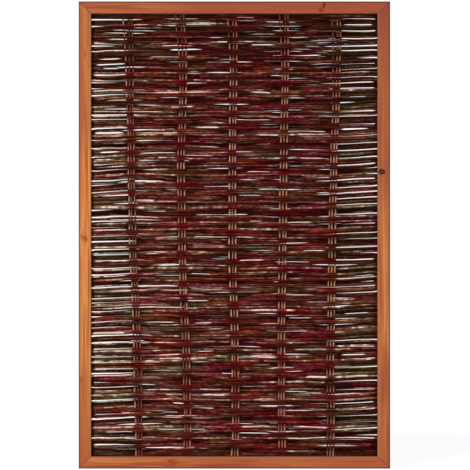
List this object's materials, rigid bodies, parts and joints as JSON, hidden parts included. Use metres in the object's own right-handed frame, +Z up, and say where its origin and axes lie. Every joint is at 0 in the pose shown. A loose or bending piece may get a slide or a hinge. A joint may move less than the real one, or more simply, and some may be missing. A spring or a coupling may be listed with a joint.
{
  "type": "woven willow hurdle",
  "caption": "Upright fence panel: bundles of willow rods woven in front of and behind clusters of thin upright stakes, held in a mitred timber frame that is fixed between posts.",
  "frame": {"origin": "Middle of the foot of the panel: centre of width and depth, at the underside of the bottom rail.", "axes": "+Z up, X along the width, the front faces -Y."},
  "size_m": [1.2, 0.045, 1.8],
  "materials": {
    "frame_timber": "planed softwood, orange-brown stain, satin",
    "tongue_wood": "bare hardwood",
    "willow_stake": "tan willow bark, satin",
    "willow_rod": "dark red-brown willow bark, satin"
  },
  "bodies": {
    "root": {"bottom_rail": "frame_timber", "top_rail": "frame_timber", "left_stile": "frame_timber", "right_stile": "frame_timber", "corner_tongues": "tongue_wood", "stake_1_left": "willow_stake", "stake_1_middle": "willow_stake", "stake_1_right": "willow_stake", "stake_2_left": "willow_stake", "stake_2_middle": "willow_stake", "stake_2_right": "willow_stake", "stake_3_left": "willow_stake", "stake_3_middle": "willow_stake", "stake_3_right": "willow_stake", "stake_4_left": "willow_stake", "stake_4_middle": "willow_stake", "stake_4_right": "willow_stake", "stake_5_left": "willow_stake", "stake_5_middle": "willow_stake", "stake_5_right": "willow_stake", "course_pair_01": "willow_rod", "course_pair_02": "willow_rod", "course_pair_03": "willow_rod", "course_pair_04": "willow_rod", "course_pair_05": "willow_rod", "course_pair_06": "willow_rod", "course_pair_07": "willow_rod", "course_pair_08": "willow_rod", "course_pair_09": "willow_rod", "course_pair_10": "willow_rod", "course_pair_11": "willow_rod", "course_pair_12": "willow_rod", "course_pair_13": "willow_rod", "course_pair_14": "willow_rod", "course_pair_15": "willow_rod", "course_pair_16": "willow_rod", "course_pair_17": "willow_rod", "course_pair_18": "willow_rod", "course_pair_19": "willow_rod", "course_pair_20": "willow_rod", "course_pair_21": "willow_rod", "course_pair_22": "willow_rod", "course_pair_23": "willow_rod", "course_pair_24": "willow_rod", "course_pair_25": "willow_rod", "course_pair_26": "willow_rod", "course_pair_27": "willow_rod", "course_pair_28": "willow_rod", "course_pair_29": "willow_rod", "course_pair_30": "willow_rod", "course_pair_31": "willow_rod", "course_pair_32": "willow_rod"}
  },
  "joints": []
}
